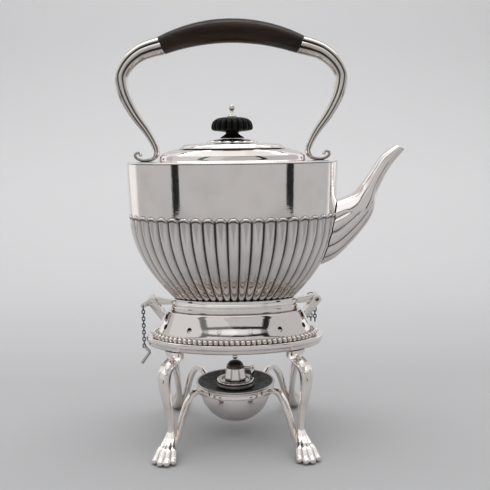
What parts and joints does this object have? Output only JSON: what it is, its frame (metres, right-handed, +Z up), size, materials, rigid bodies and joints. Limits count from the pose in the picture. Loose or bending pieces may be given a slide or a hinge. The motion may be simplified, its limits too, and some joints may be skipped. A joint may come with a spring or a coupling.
{
  "type": "tea kettle on spirit stand",
  "caption": "Oval silver kettle with fluted belly, bail handle and hinged lid that tilts to pour on a four-legged stand with paw feet and a spirit lamp.",
  "frame": {"origin": "centre of the bounding box's underside, on the table that the paws stand on", "axes": "+X towards the spout, +Y to the back (the lid's hinge side), +Z up"},
  "size_m": [0.2431, 0.1498, 0.355],
  "materials": {
    "silver": "polished",
    "aged_silver": "dull",
    "ebony": "waxed",
    "dark_wood": "satin",
    "cotton": "matte"
  },
  "bodies": {
    "stand": {"stand_ring": "silver", "stand_collar": "silver", "gadroon_border": "silver", "stand_lug_left": "silver", "stand_lug_right": "silver", "leg_front_left": "silver", "leg_front_right": "silver", "leg_back_left": "silver", "leg_back_right": "silver", "cradle_ring": "silver", "cradle_bar_front_left": "silver", "cradle_bar_front_right": "silver", "cradle_bar_back_left": "silver", "cradle_bar_back_right": "silver"},
    "kettle": {"kettle_body": "silver", "foot_ring": "silver", "shoulder_plate": "silver", "spout": "silver", "kettle_lug_left": "silver", "kettle_lug_right": "silver", "handle_arm_left": "silver", "handle_arm_right": "silver", "handle_grip": "dark_wood", "grip_pin_left": "silver", "grip_pin_right": "silver", "lid_hinge_leaf": "silver", "lid_hinge_pin": "aged_silver"},
    "lid": {"lid": "silver", "lid_hinge_tab": "silver", "knob_rosette": "silver", "knob": "ebony", "finial_bolt": "silver", "knob_nut": "aged_silver"},
    "lamp": {"burner_bowl": "silver", "burner_disc": "aged_silver", "burner_neck": "silver", "wick_holder": "aged_silver", "wick": "cotton", "snuffer_post": "silver", "snuffer_pin": "aged_silver"},
    "snuffer": {"snuffer": "silver"},
    "left_chain": {"chain_left": "silver"},
    "left_pin": {"pin_left": "silver"},
    "right_pin": {"pin_right": "silver"},
    "right_pin_run": {"chain_right_pin_run": "silver"},
    "right_lug_run": {"chain_right_lug_run": "silver"}
  },
  "joints": [
    {"name": "kettle_tilt", "type": "hinge", "parent": "stand", "child": "kettle", "pos_m": [0.04695, 0, 0.1198], "axis": [0, 1, 0], "range_deg": [0, 55]},
    {"name": "lid_hinge", "type": "hinge", "parent": "kettle", "child": "lid", "pos_m": [-0.02405, 0.0328, 0.2503], "axis": [-1, 0, 0], "range_deg": [0, 95]},
    {"name": "lamp_lift", "type": "slide", "parent": "stand", "child": "lamp", "axis": [0, 0, 1], "range_m": [0, 0.03]},
    {"name": "snuffer_hinge", "type": "hinge", "parent": "lamp", "child": "snuffer", "pos_m": [-0.00885, 0, 0.0581], "axis": [0, 1, 0], "range_deg": [0, 95]},
    {"name": "left_chain_swing", "type": "hinge", "parent": "stand", "child": "left_chain", "pos_m": [-0.1023, -0.0062, 0.11642], "axis": [0, 1, 0], "range_deg": [0, 25]},
    {"name": "left_pin_swing", "type": "hinge", "parent": "left_chain", "child": "left_pin", "pos_m": [-0.1023, -0.0062, 0.08044], "axis": [0, 1, 0], "range_deg": [-8, 20]},
    {"name": "right_pin_slide", "type": "slide", "parent": "stand", "child": "right_pin", "axis": [0, 1, 0], "range_m": [0, 0.0135]},
    {"name": "right_pin_run_swing", "type": "hinge", "parent": "right_pin", "child": "right_pin_run", "pos_m": [0.04339, 0.00973, 0.11733], "axis": [1, 0, 0], "range_deg": [-25, 0]},
    {"name": "right_lug_run_swing", "type": "hinge", "parent": "stand", "child": "right_lug_run", "pos_m": [0.04695, 0.0091, 0.1146], "axis": [1, 0, 0], "range_deg": [0, 18]}
  ],
  "couplings": [
    {"joint": "right_pin_run_swing", "follows": "right_pin_slide", "rad_per_m": -28.4},
    {"joint": "right_lug_run_swing", "follows": "right_pin_slide", "rad_per_m": 20.2}
  ]
}
